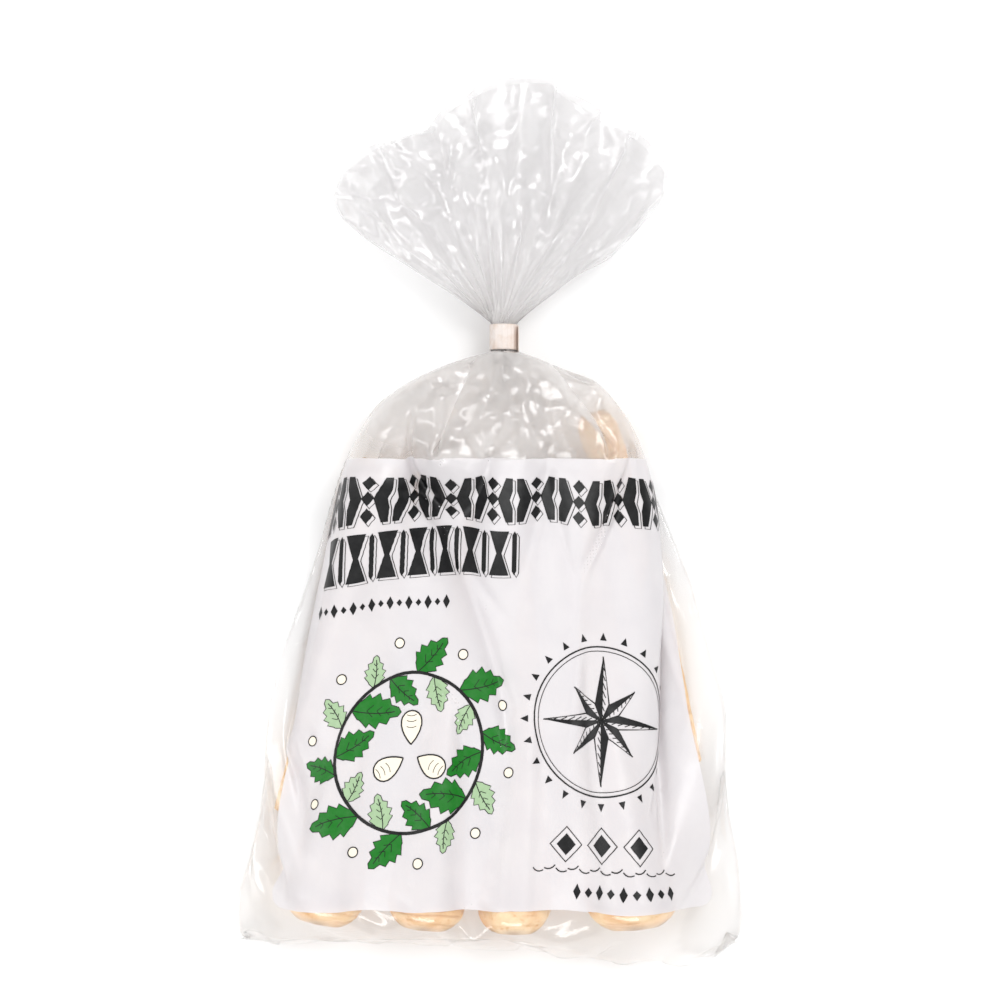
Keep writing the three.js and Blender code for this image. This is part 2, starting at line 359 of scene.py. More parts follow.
def root_axis(root, s):
    """Points of a root's axis at distances from its crown."""
    crown, along, side, length = root_line(root)
    share = np.clip(s / length, 0, 1)
    bow = root[4] * np.sin(math.pi * share)
    xy = crown + along * (share * length)[..., None] + side * bow[..., None]
    z = ROOT_CLEARANCE + taper(share, root[2]) + root[3] * (1 - share)
    return np.concatenate([xy, z[..., None]], axis=-1)


def keep_off_root(points, root):
    """Pushes points of the film out of one root."""
    crown, along, side, length = root_line(root)
    s = (points[:, 0] - crown[0]) * along[0] + (points[:, 1] - crown[1]) * along[1]
    near = np.nonzero((s > -20) & (s < length + 5))[0]
    s = s[near]
    on_axis = np.clip(s, 0, length)
    offset = points[near] - root_axis(root, on_axis)
    beyond = s - on_axis
    distance = np.sqrt((offset ** 2).sum(-1)) + 1e-9
    radius = root_radius(on_axis, length, root[2])
    # Past the crown the end is a rounded disc, a little narrower than the shoulder.
    rim = CROWN_RIM * root[2]
    outward = np.sqrt(np.maximum(distance ** 2 - beyond ** 2, 0))
    past = np.maximum(outward - rim, 0)
    gap = np.where(beyond < 0, np.sqrt(beyond ** 2 + past ** 2) - 0.2, distance - radius)
    short = np.maximum(CONTACT_GAP - gap, 0)
    push = offset / distance[:, None]
    ahead = np.stack([along[0] * beyond, along[1] * beyond, 0 * beyond], axis=-1)
    end_push = ahead + (offset - ahead) * (past / (outward + 1e-9))[:, None]
    end_push /= np.sqrt((end_push ** 2).sum(-1))[:, None] + 1e-9
    push = np.where((beyond < 0)[:, None], end_push, push)
    points[near] += push * short[:, None]


def pull(a, b, rest, give):
    """The move that brings two points of the film back to the distance that it keeps."""
    step = b - a
    length = np.sqrt((step ** 2).sum(-1)) + 1e-9
    stretch = length - rest
    share = np.where(stretch > 0, 0.5, 0.5 * give)
    return step * (share * stretch / length)[..., None]


def pull_rows(points, start, rest, give, shift=0):
    """One colour of pulls between rows, straight or slanted by one column."""
    a = points[start:-1:2]
    b = points[start + 1::2][:len(a)]
    move = pull(a, np.roll(b, -shift, axis=1), rest, give[start:-1:2])
    a += move
    b -= np.roll(move, shift, axis=1)


def pull_columns(points, start, rest, give):
    """One colour of pulls between columns, round the tube."""
    even, odd = points[:, 0::2], points[:, 1::2]
    if start == 0:
        move = pull(even, odd, rest, give[:, 0::2])
        even += move
        odd -= move
        return
    move = pull(odd, np.roll(even, -1, axis=1), rest, give[:, 1::2])
    odd += move
    even -= np.roll(move, 1, axis=1)


def unbend(points, rest_rows, rest_columns, strength):
    """Keeps next but one neighbours apart, which gives the film its stiffness."""
    for axis, rest in ((0, rest_rows), (1, rest_columns)):
        if axis == 0:
            a, b = points[:-2], points[2:]
        else:
            a, b = points, np.roll(points, -2, axis=1)
        step = b - a
        length = np.sqrt((step ** 2).sum(-1)) + 1e-9
        short = np.minimum(length - 2 * rest, 0)
        move = step * (strength * short / length)[..., None]
        if axis == 0:
            points[:-2] += move
            points[2:] -= move
        else:
            points += move - np.roll(move, 2, axis=1)


# How much of a push the film resists: where it shows, and where it is folded under the roots.
GIVE, HIDDEN_GIVE = 0.8, 0.04
# How slack the film is, at lengths from the weld: mostly on the shoulder, where it crumples.
SLACK_AT = ([0, 30, 245, 270, 320, 334], [0.2, 0.05, 0.05, 0.9, 0.7, 0])
HIDDEN_SLACK = 0.15


class Level:
    """One grid of the film: its rest lengths, and what holds each of its points."""

    def __init__(self, rows, columns):
        self.rows, self.columns = rows, columns
        self.rest_rows = FILM_LENGTH / rows
        self.rest_columns = GIRTH / columns
        self.rest_slant = math.hypot(self.rest_rows, self.rest_columns)
        self.lengths = np.linspace(0, FILM_LENGTH, rows + 1)
        start = start_shape(rows, columns)
        self.flare_rows = np.nonzero(self.lengths > BODY_LENGTH + NECK_LENGTH)[0]
        self.flare = flare_points(self.lengths[self.flare_rows], columns)
        start[self.flare_rows] = self.flare
        self.start = start
        seam = seam_height(start[:, :, 1])
        self.front = start[:, :, 2] > seam + 0.5
        self.back = start[:, :, 2] < seam - 0.5
        in_neck = (self.lengths >= BODY_LENGTH) & (self.lengths <= BODY_LENGTH + NECK_LENGTH)
        self.neck_rows = np.nonzero(in_neck)[0]
        self.neck = np.array([neck_points(self.lengths[row], columns) for row in self.neck_rows])
        self.weld = weld_points(columns)
        hidden = self.back & (self.lengths < BODY_LENGTH - 12)[:, None]
        near_neck = np.abs(self.lengths - BODY_LENGTH - NECK_LENGTH / 2) < NECK_LENGTH
        self.give = np.where(hidden, HIDDEN_GIVE, GIVE)
        self.give[near_neck] = 0.0
        slack = np.interp(self.lengths, *SLACK_AT)
        self.slack = np.where(hidden, HIDDEN_SLACK, slack[:, None])
        self.seam = seam
        self.on_shoulder = (self.lengths > 290) & (self.lengths < BODY_LENGTH)


OUTLINE_PULL = 0.4  # the share of the way back to the outline that one step moves a point
LAYER_GAP = 0.4
FLOOR_GAP = 0.15


def hold(points, level):
    """Keeps the film on the surface, off the roots, inside the outline and in its two layers."""
    flat = points.reshape(-1, 3)
    for root in ROOTS.values():
        keep_off_root(flat, root)
    left, right = sides_at(points[:, :, 1])
    points[:, :, 0] += OUTLINE_PULL * np.maximum(left - points[:, :, 0], 0)
    points[:, :, 0] -= OUTLINE_PULL * np.maximum(points[:, :, 0] - right, 0)
    height = points[:, :, 2]
    seam = seam_height(points[:, :, 1])
    parted = level.on_shoulder[:, None]
    np.copyto(height, np.maximum(height, seam + LAYER_GAP), where=level.front & parted)
    np.copyto(height, np.minimum(height, seam - LAYER_GAP), where=level.back & parted)
    np.copyto(height, np.minimum(height, seam), where=level.back)
    np.copyto(height, np.maximum(height, FLOOR_GAP))
    below_neck = points[:level.neck_rows[0], :, 1]
    np.copyto(below_neck, np.minimum(below_neck, NECK_FROM_Y - LAYER_GAP))
    points[level.neck_rows] = level.neck
    points[0] = level.weld
    points[level.flare_rows] = level.flare


SWELL = 0.02  # how far the film is blown out at each step, at most
# The share of it along the film, so that the panel stays flat.
SWELL_AT = ([0, 40, 240, 270, 310, BODY_LENGTH], [1, 0.25, 0.25, 1, 1, 0])
WEIGHT = 0.01  # how far it drops
DAMPING = 0.9


def outward(points):
    """The film's normals, away from its inside."""
    across = np.roll(points, -1, axis=1) - np.roll(points, 1, axis=1)
    along = np.gradient(points, axis=0)
    normal = np.cross(along, across)
    return normal / (np.sqrt((normal ** 2).sum(-1))[..., None] + 1e-9)


def settle(points, level, steps, stiffness, swell):
    """Moves the film step by step to where its lengths and what holds it agree."""
    before = points.copy()
    for step in range(steps):
        moved = (points - before) * DAMPING
        before = points.copy()
        points += moved
        points += outward(points) * swell[:, None, None]
        points[:, :, 2] -= WEIGHT
        unbend(points, level.rest_rows, level.rest_columns, stiffness)
        for start in (0, 1):
            pull_rows(points, start, level.rest_rows, level.give)
            pull_columns(points, start, level.rest_columns, level.give)
        for shift in (1, -1):
            for start in (0, 1):
                pull_rows(points, start, level.rest_slant, level.give, shift)
        hold(points, level)
    return points


def halve(points):
    """The same film on a grid of twice as many rows and columns."""
    rows, columns = points.shape[0] * 2 - 1, points.shape[1] * 2
    finer = np.empty((rows, columns, 3))
    finer[0::2, 0::2] = points
    finer[0::2, 1::2] = (points + np.roll(points, -1, axis=1)) / 2
    finer[1::2] = (finer[0:-1:2] + finer[2::2]) / 2
    return finer


# For each grid, from the coarsest: its steps, its stiffness, and how much it is shaken first.
STEPS = (260, 180, 120)
STIFFNESS = (0.12, 0.1, 0.06)
NOISE = (2.0, 0.3, 0.08)
CRUMPLES = ((18, 7.5), (9, -4.8), (4.5, 1.3))  # the size of their facets and their depth


def crumple(level, points, size, random):
    """Facets as seen from above, different on each layer."""
    x, y, z = np.moveaxis(points, -1, 0)
    layers = [facets(x, y, size, random) - 0.4 for _ in range(2)]
    return np.where(z > level.seam, *layers) * level.slack


def settled_film():
    """The film's points, in rows from the weld to the mouth."""
    random = np.random.default_rng(SEED)
    points = None
    for halving in range(HALVINGS + 1):
        level = Level(ROWS * 2 ** halving, COLUMNS * 2 ** halving)
        points = level.start.copy() if points is None else halve(points)
        points += random.normal(0, NOISE[halving], points.shape) * level.slack[..., None]
        swell = SWELL * np.interp(level.lengths, *SWELL_AT)
        settle(points, level, STEPS[halving], STIFFNESS[halving], swell)
    for size, depth in CRUMPLES:
        points[:, :, 2] += crumple(level, points, size, random) * depth
    hold(points, level)
    return points, level


# Meshes and materials

def link(name, mesh):
    piece = bpy.data.objects.new(name, mesh)
    bpy.context.scene.collection.objects.link(piece)
    return piece


def grid_mesh(name, points, closed):
    """A smooth mesh of quads over a grid of points in millimetres."""
    rows, columns = points.shape[:2]
    index = np.arange(rows * columns).reshape(rows, columns)
    if closed:
        index = np.concatenate([index, index[:, :1]], axis=1)
    quads = np.stack([index[:-1, :-1], index[1:, :-1], index[1:, 1:], index[:-1, 1:]], axis=-1)
    mesh = bpy.data.meshes.new(name)
    mesh.from_pydata((points.reshape(-1, 3) * MM).tolist(), [], quads.reshape(-1, 4).tolist())
    mesh.shade_smooth()
    mesh.update()
    return mesh


# Where the film is crumpled, which makes it hazier, and towards the flare also where its haze is greyed
# as painted shade: length from the weld, and how much.
CRUMPLED_AND_PAINTED_SHADE = np.array([(0, 0), (240, 0), (262, 0.6), (335, 0.6), (365, 0.85), (400, 1), (FILM_LENGTH, 1)])


def add_film(points, level):
    film = link("film", grid_mesh("film", points, True))
    # How crumpled the film is along its length. The same value greys the flare's haze as painted shade.
    crumpled_and_painted_shade = np.interp(level.lengths, CRUMPLED_AND_PAINTED_SHADE[:, 0], CRUMPLED_AND_PAINTED_SHADE[:, 1])
    values = np.repeat(crumpled_and_painted_shade, level.columns)
    film.data.attributes.new("crumpled_and_painted_shade", "FLOAT", "POINT").data.foreach_set("value", values)
    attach(film, "root")
    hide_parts("bag_film")
    return film


ROOT_RINGS = 260
ROOT_SIDES = 112
RING_SCARS = 70
# The pit where the leaves were cut: distance from the crown, and share of the largest radius.
PIT = np.array([
    (1.2, 0.0), (1.7, 0.1), (1.1, 0.18), (1.9, 0.27), (1.3, 0.36), (2.2, 0.42), (0.9, 0.47),
])


def root_surface(root, s, turn, random):
    """How far the skin stands off the turned shape, and how strong its ring scars are."""
    length = root_line(root)[3]
    relief = np.zeros((len(s), len(turn)))
    scars = np.zeros_like(relief)
    share = np.clip(s / length, 0, 1)[:, None]
    for lobes in (3, 5, 7):
        phase, drift = random.uniform(0, 6.3), random.uniform(-3, 3)
        relief += 0.22 * np.cos(lobes * turn + phase + drift * share) * (1 - 0.6 * share)
    for hills in (5, 9, 17):
        phase, lean = random.uniform(0, 6.3), random.uniform(0, 6.3)
        relief += 0.16 * np.sin(hills * 6.3 * share + phase) * np.cos(turn - lean)
    for _ in range(RING_SCARS):
        place = length * random.uniform(0.015, 0.97) ** 1.3
        middle, reach = random.uniform(0, 2 * math.pi), random.uniform(0.25, 1.5)
        width, depth = random.uniform(0.35, 0.75), random.uniform(0.12, 0.42)
        wander = 0.5 * np.sin(turn * 3 + middle)
        off = np.abs((turn - middle + math.pi) % (2 * math.pi) - math.pi)
        round_it = smooth(reach, reach * 0.6, off)
        line = np.exp(-(((s[:, None] - place - wander) / width) ** 2)) * round_it
        relief -= depth * line
        scars = np.maximum(scars, line * random.uniform(0.25, 0.8))
    return np.clip(relief, -0.8, 0.4), scars


def add_root(name, root, random):
    """One root: its shoulder, rings and thin tip, and the pit where its leaves were cut."""
    crown, along, side, length = root_line(root)
    s = length * np.linspace(0, 1, ROOT_RINGS) ** 1.15
    turn = np.linspace(0, 2 * math.pi, ROOT_SIDES, endpoint=False)
    relief, scars = root_surface(root, s, turn, random)
    radius = root_radius(s, length, root[2])[:, None]
    radius = radius + relief * np.minimum(1, radius / 8)
    radius[-1] = 0.05
    s = np.concatenate([PIT[:, 0], s])
    stubs = 1 + 0.12 * np.sin(turn * 6 + 1) * smooth(0, 0.4, PIT[:, 1:])
    radius = np.concatenate([PIT[:, 1:] * root[2] * stubs, radius])
    rim = np.repeat(np.where(PIT[:, 1:] > 0.45, 0.5, 1.0), ROOT_SIDES, axis=1)
    stain = 0.75 * smooth(4.5, 0, s[len(PIT):])[:, None] * (0.7 + 0.3 * np.sin(turn * 5))
    scar = np.concatenate([rim, stain])
    ring = np.concatenate([0 * rim, scars])
    centre = root_axis(root, np.clip(s, 0, length))
    side = np.append(side, 0)
    up = np.array([0, 0, 1])
    spoke = np.cos(turn)[:, None] * side + np.sin(turn)[:, None] * up
    points = centre[:, None] + radius[..., None] * spoke
    mesh = grid_mesh(name, points, True)
    for key, values in (("scar", scar), ("ring", ring)):
        mesh.attributes.new(key, "FLOAT", "POINT").data.foreach_set("value", values.ravel())
    piece = link(name + "_root", mesh)
    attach(piece, "root")
    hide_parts(name)
    return piece


def linear(*colour):
    """A colour of the screen, from 0 to 255, as the shader's linear light."""
    return tuple((c / 255) ** 2.2 for c in colour)


class Shader:
    """A material's nodes, added one call at a time."""

    def __init__(self, name):
        self.material = bpy.data.materials.new(name)
        self.material.use_nodes = True
        self.tree = self.material.node_tree
        self.tree.nodes.clear()
        self.out = self.tree.nodes.new("ShaderNodeOutputMaterial")

    def add(self, kind, sockets=(), **settings):
        """A node of that kind: sockets are (name or number, a value or another node's output)."""
        node = self.tree.nodes.new("ShaderNode" + kind)
        for key, value in settings.items():
            setattr(node, key, value)
        for socket, value in sockets:
            if isinstance(value, bpy.types.NodeSocket):
                self.tree.links.new(value, node.inputs[socket])
            else:
                node.inputs[socket].default_value = value
        return node

    def noise(self, scale, detail=4, roughness=0.55, vector=None):
        sockets = [("Scale", scale), ("Detail", detail), ("Roughness", roughness)]
        place = vector or self.add("TexCoord").outputs["Object"]
        return self.add("TexNoise", sockets + [("Vector", place)]).outputs["Fac"]

    def ramp(self, fac, stops):
        """A colour ramp: stops are (place, colour) or (place, grey)."""
        node = self.add("ValToRGB", [(0, fac)])
        elements = node.color_ramp.elements
        while len(elements) < len(stops):
            elements.new(0.5)
        for element, (place, colour) in zip(elements, stops):
            element.position = place
            element.color = (*colour, 1) if isinstance(colour, tuple) else (colour, colour, colour, 1)
        return node.outputs[0]

    def blend(self, kind, share, a, b):
        node = self.add("Mix", [(0, share), (6, a), (7, b)], data_type="RGBA", blend_type=kind)
        return node.outputs[2]

    def bump(self, height, distance, strength=1.0, normal=None):
        sockets = [("Height", height), ("Distance", distance), ("Strength", strength)]
        if normal:
            sockets.append(("Normal", normal))
        return self.add("Bump", sockets).outputs[0]

    def finish(self, surface):
        self.tree.links.new(surface, self.out.inputs["Surface"])
        return self.material


FILM_TINT = (0.998, 0.997, 0.996)
# The colour and share of the film's haze, from smooth, at 0, to crumpled, at 1. The flare's grey haze
# colour, at 1, is painted shade.
FILM_HAZE_AND_PAINTED_SHADE_COLOUR = (
    (0.0, (0.92, 0.91, 0.905)),
    (0.6, (0.94, 0.92, 0.91)),
    (1.0, (0.75, 0.735, 0.74)),
)
FILM_HAZE = ((0.0, 0.13), (0.6, 0.46), (1.0, 0.42))
# How much the film mirrors: from face on, at 0, to along it, at 1.
FILM_SHINE = ((0.0, 0.08), (0.35, 0.095), (0.6, 0.17), (0.8, 0.38), (0.93, 0.7), (1.0, 1.0))


def film_material():
    """Clear film: it lets nearly all light through, shines at its creases and is a little hazy. The haze
    on the flare is greyed as painted shade.
    """
    shader = Shader("clear film")
    crinkle = shader.noise(900, 3, 0.6)
    drape = shader.noise(90, 2, 0.5)
    normal = shader.bump(crinkle, 0.00012, 0.5)
    normal = shader.bump(drape, 0.0006, 0.5, normal)
    clear = shader.add("BsdfTransparent", [("Color", (*FILM_TINT, 1))])
    crumpled_and_painted_shade = shader.add("Attribute", attribute_name="crumpled_and_painted_shade").outputs["Fac"]
    # The haze colour turns grey on the flare: painted shade.
    haze_and_painted_shade_colour = shader.ramp(crumpled_and_painted_shade, FILM_HAZE_AND_PAINTED_SHADE_COLOUR)
    near = shader.add("BsdfDiffuse", [("Color", haze_and_painted_shade_colour), ("Normal", normal)])
    far = shader.add("BsdfTranslucent", [("Color", haze_and_painted_shade_colour), ("Normal", normal)])
    haze = shader.add("MixShader", [(0, 0.5), (1, near.outputs[0]), (2, far.outputs[0])])
    gloss = shader.add("BsdfGlossy", [("Color", (1, 1, 1, 1)), ("Roughness", 0.16), ("Normal", normal)])
    share = shader.ramp(crumpled_and_painted_shade, FILM_HAZE)
    body = shader.add("MixShader", [(0, share), (1, clear.outputs[0]), (2, haze.outputs[0])])
    slant = shader.add("LayerWeight", [("Blend", 0.5), ("Normal", normal)]).outputs["Facing"]
    edge = shader.ramp(slant, FILM_SHINE)
    both = shader.add("MixShader", [(0, edge), (1, body.outputs[0]), (2, gloss.outputs[0])])
    return shader.finish(both.outputs[0])


def ink_material(name, colour, mottle):
    """Ink on film: nearly opaque, satin, with the uneven density of a cheap print."""
    shader = Shader(name)
    uneven = shader.noise(260, 5, 0.6)
    paler = tuple(min(1, c + mottle) for c in colour)
    base = shader.ramp(uneven, [(0.35, colour), (0.75, paler)])
    normal = shader.bump(shader.noise(90, 2, 0.5), 0.0004, 0.4)
    normal = shader.bump(shader.noise(900, 3, 0.6), 0.0001, 0.4, normal)
    surface = shader.add("BsdfPrincipled", [
        ("Base Color", base), ("Roughness", 0.32), ("Normal", normal), ("Specular IOR Level", 0.3),
    ])
    return shader.finish(surface.outputs[0])


def white_ink_material():
    """The panel's white ink, which lets a little of the roots' colour through."""
    shader = Shader("white ink")
    uneven = shader.noise(60, 4, 0.5)
    base = shader.ramp(uneven, [(0.3, linear(222, 219, 222)), (0.7, linear(227, 224, 226))])
    normal = shader.bump(shader.noise(90, 2, 0.5), 0.0005, 0.4)
    normal = shader.bump(shader.noise(900, 3, 0.6), 0.0001, 0.3, normal)
    white = shader.add("BsdfPrincipled", [
        ("Base Color", base), ("Roughness", 0.3), ("Normal", normal), ("Specular IOR Level", 0.5),
    ])
    thin = shader.add("BsdfTransparent", [("Color", (1.0, 0.97, 0.95, 1))])
    both = shader.add("MixShader", [(0, 0.14), (1, white.outputs[0]), (2, thin.outputs[0])])
    return shader.finish(both.outputs[0])


def skin_material():
    """Root skin: cream, with tan patches, darker ring scars and a brown crown."""
    shader = Shader("root skin")
    place = shader.add("TexCoord").outputs["Object"]
    patches = shader.noise(55, 5, 0.65, place)
    specks = shader.noise(330, 4, 0.65, place)
    scar = shader.add("Attribute", attribute_name="scar").outputs["Fac"]
    ring = shader.add("Attribute", attribute_name="ring").outputs["Fac"]
    cream, tan = linear(249, 220, 176), linear(228, 170, 106)
    base = shader.ramp(patches, [(0.38, cream), (0.68, tan)])
    freckle = shader.ramp(specks, [(0.58, 0.0), (0.7, 1.0)])
    base = shader.blend("MIX", freckle, base, (*linear(222, 160, 98), 1))
    base = shader.blend("MIX", ring, base, (*linear(196, 138, 84), 1))
    base = shader.blend("MIX", scar, base, (*linear(140, 98, 62), 1))
    normal = shader.bump(specks, 0.0006, 0.5)
    normal = shader.bump(shader.noise(1200, 2, 0.5, place), 0.0002, 0.4, normal)
    surface = shader.add("BsdfPrincipled", [
        ("Base Color", base), ("Roughness", 0.6), ("Normal", normal),
        ("Subsurface Weight", 0.12), ("Subsurface Radius", (0.9, 0.5, 0.25)), ("Subsurface Scale", 0.002),
    ])
    return shader.finish(surface.outputs[0])


def tape_material():
    """Pale tape: satin, a little pink, with fine length-wise stretch marks."""
    shader = Shader("tape")
    place = shader.add("TexCoord").outputs["Object"]
    stains = shader.noise(160, 4, 0.6, place)
    base = shader.ramp(stains, [(0.4, linear(228, 218, 212)), (0.75, linear(212, 190, 174))])
    normal = shader.bump(shader.noise(700, 3, 0.6, place), 0.0003, 0.5)
    sockets = [("Base Color", base), ("Roughness", 0.42), ("Normal", normal)]
    return shader.finish(shader.add("BsdfPrincipled", sockets).outputs[0])


def floor_material():
    shader = Shader("floor")
    sockets = [("Base Color", (0.93, 0.93, 0.93, 1)), ("Roughness", 0.8)]
    return shader.finish(shader.add("BsdfPrincipled", sockets).outputs[0])


# The print. Its points are complex numbers in millimetres: real is the distance from the
# panel's left edge, and imaginary is the distance below its top edge.

PANEL_TOP_Y = 29.6
PANEL_BOTTOM_Y = -181.0
EDGE_SMOOTHING = 9.0
EDGE_REACH = 24.0  # how far from the panel's edge the print follows it


class Film:
    """The settled film, and where a point of the print lies on it."""

    def __init__(self, points, level):
        self.points, self.level = points, level
        self.normals = outward(points)
        self.top = self.edge_rows(PANEL_TOP_Y)
        self.bottom = self.edge_rows(PANEL_BOTTOM_Y)

    def edge_rows(self, y):
        """The row in which the panel's edge lies, for each column: as an even curve, and itself."""
        body = self.points[self.level.lengths < BODY_LENGTH]
        rows = np.array([np.nonzero(column < y)[0][-1] for column in body[:, :, 1].T])
        reach = int(EDGE_SMOOTHING / self.level.rest_columns)
        weights = np.hanning(2 * reach + 1)
        around = np.concatenate([rows[-reach:], rows, rows[:reach]])
        near = np.convolve(around, weights / weights.sum(), mode="valid")
        middle, half = self.level.columns // 4, int(0.45 * PANEL_WIDTH / self.level.rest_columns)
        columns = np.arange(middle - half, middle + half)
        return np.polyfit(columns, rows[columns], 3), near

    def grid_place(self, point):
        """The column and row of the film under a point of the print."""
        across = PANEL_WIDTH / 2 - PANEL_SHIFT - point.real
        column = self.level.columns / 4 + across / self.level.rest_columns
        row = 0
        from_edges = (point.imag, PANEL_HEIGHT - point.imag)
        for (curve, near), distance in zip((self.top, self.bottom), from_edges):
            even = np.polyval(curve, column)
            here = np.interp(column, np.arange(self.level.columns), near, period=self.level.columns)
            edge = mix(here, even, smooth(0, EDGE_REACH, distance))
            row += edge * (1 - distance / PANEL_HEIGHT)
        return column, row

    def at(self, column, row, lift):
        """The place in the bag of a column and row, lifted off the film."""
        c, r = math.floor(column + 1e-6), math.floor(row + 1e-6)
        u, v = max(column - c, 0), max(row - r, 0)
        place = 0
        for dr, by_row in ((0, 1 - v), (1, v)):
            for dc, by_column in ((0, 1 - u), (1, u)):
                rr, cc = min(r + dr, self.level.rows), (c + dc) % self.level.columns
                here = self.points[rr, cc] + lift * self.normals[rr, cc]
                place = place + by_row * by_column * here
        return place


def cut_at_grid(mesh):
    """Cuts a flat mesh, whose x and y are columns and rows, along each of them."""
    for axis in (0, 1):
        places = [vert.co[axis] for vert in mesh.verts]
        normal = (1 - axis, axis, 0)
        for line in range(math.ceil(min(places)), math.floor(max(places)) + 1):
            whole = mesh.verts[:] + mesh.edges[:] + mesh.faces[:]
            point = [line * n for n in normal]
            bmesh.ops.bisect_plane(mesh, geom=whole, dist=1e-4, plane_co=point, plane_no=normal)


def add_print(name, film, shapes, lift, material):
    """One colour of the print, as a mesh that lies on the film."""
    flat = bmesh.new()
    for shape in shapes:
        flat.faces.new([flat.verts.new((*film.grid_place(p), 0)) for p in shape])
    bmesh.ops.triangulate(flat, faces=flat.faces[:])
    cut_at_grid(flat)
    for vert in flat.verts:
        vert.co = Vector(film.at(vert.co.x, vert.co.y, lift) * MM)
    for face in flat.faces:
        face.smooth = True
    bmesh.ops.recalc_face_normals(flat, faces=flat.faces[:])
    mesh = bpy.data.meshes.new(name)
    flat.to_mesh(mesh)
    flat.free()
    mesh.materials.append(material)
    piece = link(name, mesh)
    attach(piece, "root")
    return piece


def turned(degrees):
    return complex(math.cos(math.radians(degrees)), math.sin(math.radians(degrees)))


def oval(centre, width, height, points=24):
    angles = [2 * math.pi * i / points for i in range(points)]
    return [centre + complex(width / 2 * math.cos(a), height / 2 * math.sin(a)) for a in angles]


def lozenge(centre, width, height):
    return [centre + corner for corner in (-1j * height / 2, width / 2, 1j * height / 2, -width / 2)]


def bar(start, end, width, point=0.0):
    """A straight bar, whose ends may be pointed."""
    along = (end - start) / abs(end - start)
    side, spike = along * 1j * width / 2, along * point
    return [start - spike, start + side, end + side, end + spike, end - side, start - side]


def stroke(path, width, closed=False):
    """A drawn line of even width, as one quad for each of its steps."""
    path = list(path)
    count = len(path)
    edges = []
    for i, p in enumerate(path):
        before = path[i - 1] if closed or i > 0 else p
        after = path[(i + 1) % count] if closed or i < count - 1 else p
        along = (after - before) / (abs(after - before) + 1e-9)
        edges.append((p + along * 1j * width / 2, p - along * 1j * width / 2))
    ends = edges[1:] + edges[:1] if closed else edges[1:]
    return [[a[0], b[0], b[1], a[1]] for a, b in zip(edges, ends)]


def bend(start, end, bow, steps=12):
    """A curved path from start to end that bows out to its left by a share of its length."""
    chord = end - start
    shares = [i / steps for i in range(steps + 1)]
    return [start + chord * (t + 4j * bow * t * (1 - t)) for t in shares]


LEAF_TEETH = 5


def leaf(base, tip, width):
    """A toothed leaf from its base to its tip."""
    along = tip - base
    side = along / abs(along) * 1j * width / 2
    left, right = [], []
    for i in range(1, LEAF_TEETH * 2):
        t = i / (LEAF_TEETH * 2)
        swell = math.sin(math.pi * t ** 0.8) * (1.12 if i % 2 else 0.78)
        on_middle = base + along * (t + (0.03 if i % 2 else -0.02))
        left.append(on_middle + side * swell)
        right.append(on_middle - side * swell)
    return [base] + left + [tip] + right[::-1]


DROP_POINTS = 22


def drop(top, bottom, width):
    """A drop shape: round near its top and drawn out to a point at its bottom."""
    along = bottom - top
    side = along / abs(along) * 1j * width / 2
    outline = []
    for i in range(DROP_POINTS):
        a = 2 * math.pi * i / DROP_POINTS
        t = (1 - math.cos(a)) / 2
        outline.append(top + along * t + side * math.sin(a) * (1 - t) ** 0.45)
    return outline


SHADOW_SHIFT = complex(1.15, 1.15)


class Print:
    """The shapes of the print, by colour."""

    def __init__(self):
        self.black, self.green, self.sage, self.cream, self.lines = [], [], [], [], []

    def shadowed(self, shape):
        """A black shape with the thin outline of its shadow beside it."""
        self.black.append(shape)
        self.framed([p + SHADOW_SHIFT for p in shape], 0.4)

    def framed(self, shape, width):
        self.lines += stroke(shape, width, closed=True)


def big_frieze(art):
    """The wide band across the top: tall lozenges between pointed bars and stacked chevrons."""
    height, pitch, middle = 23.0, 21.4, 21.5
    for i in range(10):
        centre = complex(pitch * (i + 0.5), middle)
        for sign in (-1, 1):
            corners = ((1, -4.6), (2.4, 0), (1, 4.6), (1, height / 2), (4.2, height / 2),
                       (8.2, 0), (4.2, -height / 2), (1, -height / 2))
            art.shadowed([centre + complex(sign * x, y) for x, y in corners])
        edge = centre + pitch / 2
        for row in (-1, 0, 1):
            art.shadowed(lozenge(edge + 1j * row * 8, 5.6, 7.2))


def small_frieze(art):
    """The shorter band under it: hourglasses between upright bars."""
    left, pitch, middle, height = 17.0, 14.4, 48.5, 22.0
    for i in range(7):
        x = left + pitch * (i + 0.5)
        top, bottom = complex(x, middle - height / 2), complex(x, middle + height / 2)
        centre = complex(x, middle)
        art.shadowed([top - 4.6, top + 4.6, centre + 1.2, bottom + 4.6, bottom - 4.6, centre - 1.2])
        upright = complex(x + pitch / 2, middle)
        art.shadowed(bar(upright - 1j * (height / 2 - 2), upright + 1j * (height / 2 - 2), 2.2, 2.0))


def lozenge_row(art, start, step, count, sizes):
    for i in range(count):
        art.black.append(lozenge(start + i * step, *sizes[i % 2]))


